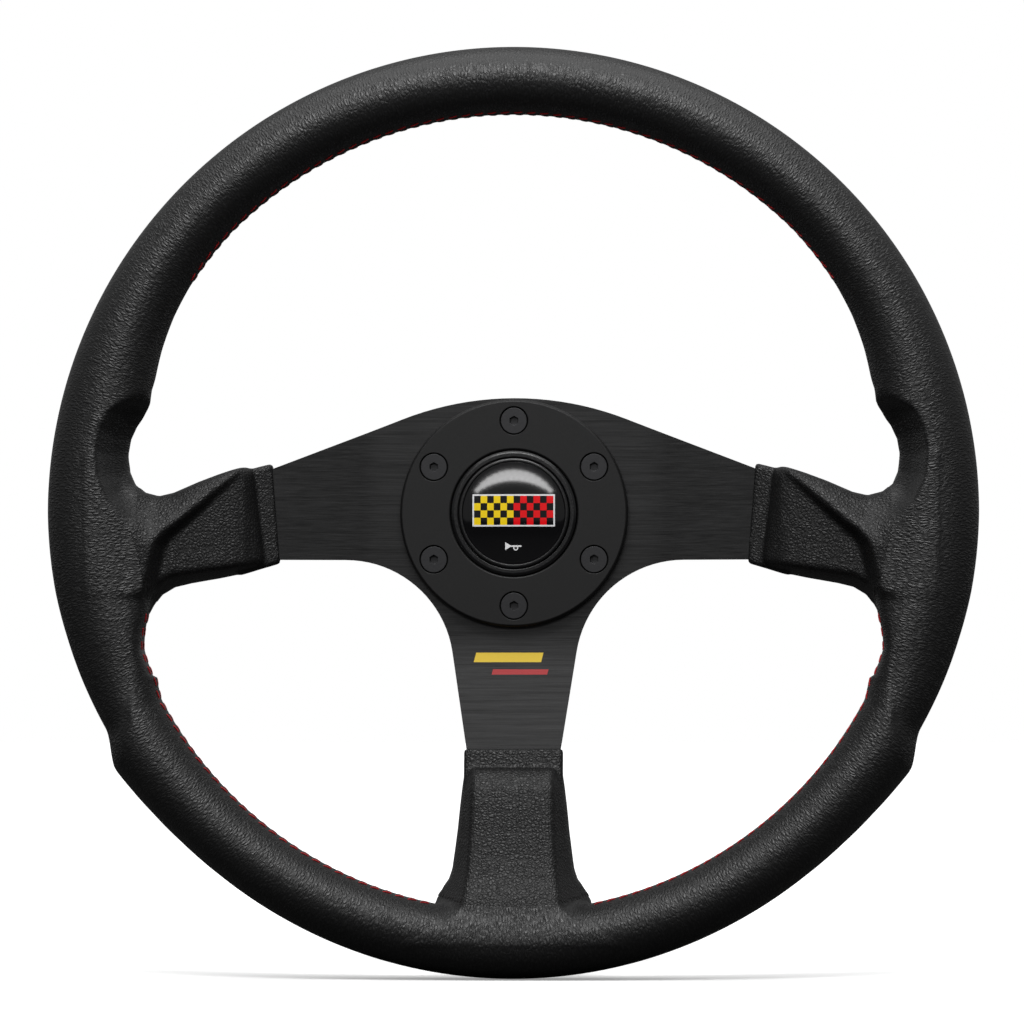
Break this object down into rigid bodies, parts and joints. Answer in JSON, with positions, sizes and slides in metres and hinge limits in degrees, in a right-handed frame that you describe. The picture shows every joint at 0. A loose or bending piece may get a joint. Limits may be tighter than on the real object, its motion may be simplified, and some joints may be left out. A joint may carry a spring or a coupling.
{
  "type": "quick release steering wheel",
  "caption": "Round leather racing steering wheel with a T-shaped spoke plate, horn button and pull-collar ball-lock quick release hub.",
  "frame": {"origin": "centre of the quick release socket's mouth, on its flat rear face", "axes": "+Y along the steering axis, away from the driver and out of the socket; +Z towards twelve o'clock; +X to the driver's right"},
  "size_m": [0.35, 0.083, 0.35],
  "materials": {
    "spoke_plate": "brushed, black anodised",
    "hoop_steel": "bare rod",
    "foam": "moulded foam",
    "leather": "grained, semi-gloss",
    "thread": "waxed thread",
    "trim_anodised": "matte black anodised",
    "black_screws": "black oxide",
    "button_plastic": "moulded",
    "badge_resin": "domed clear resin over black print",
    "contact_brass": "bright",
    "spring_steel": "drawn wire",
    "lead_red": "PVC insulation",
    "lead_black": "PVC insulation",
    "qr_anodised": "turned, black anodised",
    "hub_steel": "machined",
    "collar_aluminium": "turned, clear anodised",
    "ball_steel": "polished"
  },
  "bodies": {
    "wheel": {"spider": "spoke_plate", "rim_hoop": "hoop_steel", "rim_foam": "foam", "rim_leather": "leather", "left_spoke_cover": "leather", "right_spoke_cover": "leather", "bottom_spoke_cover": "leather", "top_stitching": "thread", "left_stitching": "thread", "right_stitching": "thread", "trim_ring": "trim_anodised", "hub_screws": "black_screws", "button_housing": "button_plastic", "button_bezel": "button_plastic", "contact_spring": "spring_steel", "signal_terminal": "contact_brass", "earth_terminal": "contact_brass", "signal_connector": "lead_red", "earth_connector": "lead_black", "signal_lead": "lead_red", "earth_lead": "lead_black", "qr_body": "qr_anodised", "spline_insert": "hub_steel", "collar_spring": "spring_steel", "retaining_ring": "hub_steel", "contact_block": "button_plastic", "block_screws": "hub_steel", "pin_springs": "spring_steel"},
    "horn_button": {"horn_cap": "button_plastic", "cap_badge": "badge_resin", "contact_plate": "contact_brass"},
    "collar": {"release_collar": "collar_aluminium"},
    "ball_1": {"lock_ball_1": "ball_steel"},
    "ball_2": {"lock_ball_2": "ball_steel"},
    "ball_3": {"lock_ball_3": "ball_steel"},
    "ball_4": {"lock_ball_4": "ball_steel"},
    "ball_5": {"lock_ball_5": "ball_steel"},
    "ball_6": {"lock_ball_6": "ball_steel"},
    "sliding_contacts": {"contact_pins": "contact_brass"}
  },
  "joints": [
    {"name": "horn_press", "type": "slide", "parent": "wheel", "child": "horn_button", "axis": [0, 1, 0], "range_m": [0, 0.0013], "stiffness_N_per_m": 2500, "springref_m": -0.002, "deforming": ["contact_spring"]},
    {"name": "collar_slide", "type": "slide", "parent": "wheel", "child": "collar", "axis": [0, -1, 0], "range_m": [0, 0.007], "stiffness_N_per_m": 1200, "springref_m": -0.012, "deforming": ["collar_spring"]},
    {"name": "ball_1_slide", "type": "slide", "parent": "wheel", "child": "ball_1", "axis": [0.866, 0, 0.5], "range_m": [0, 0.0019]},
    {"name": "ball_2_slide", "type": "slide", "parent": "wheel", "child": "ball_2", "axis": [0, 0, 1], "range_m": [0, 0.0019]},
    {"name": "ball_3_slide", "type": "slide", "parent": "wheel", "child": "ball_3", "axis": [-0.866, 0, 0.5], "range_m": [0, 0.0019]},
    {"name": "ball_4_slide", "type": "slide", "parent": "wheel", "child": "ball_4", "axis": [-0.866, 0, -0.5], "range_m": [0, 0.0019]},
    {"name": "ball_5_slide", "type": "slide", "parent": "wheel", "child": "ball_5", "axis": [0, 0, -1], "range_m": [0, 0.0019]},
    {"name": "ball_6_slide", "type": "slide", "parent": "wheel", "child": "ball_6", "axis": [0.866, 0, -0.5], "range_m": [0, 0.0019]},
    {"name": "pin_slide", "type": "slide", "parent": "wheel", "child": "sliding_contacts", "axis": [0, -1, 0], "range_m": [0, 0.0015], "stiffness_N_per_m": 400, "springref_m": -0.002, "deforming": ["pin_springs"]}
  ],
  "couplings": [
    {"joint": "ball_1_slide", "follows": "collar_slide", "ratio": 0.2714},
    {"joint": "ball_2_slide", "follows": "collar_slide", "ratio": 0.2714},
    {"joint": "ball_3_slide", "follows": "collar_slide", "ratio": 0.2714},
    {"joint": "ball_4_slide", "follows": "collar_slide", "ratio": 0.2714},
    {"joint": "ball_5_slide", "follows": "collar_slide", "ratio": 0.2714},
    {"joint": "ball_6_slide", "follows": "collar_slide", "ratio": 0.2714}
  ]
}
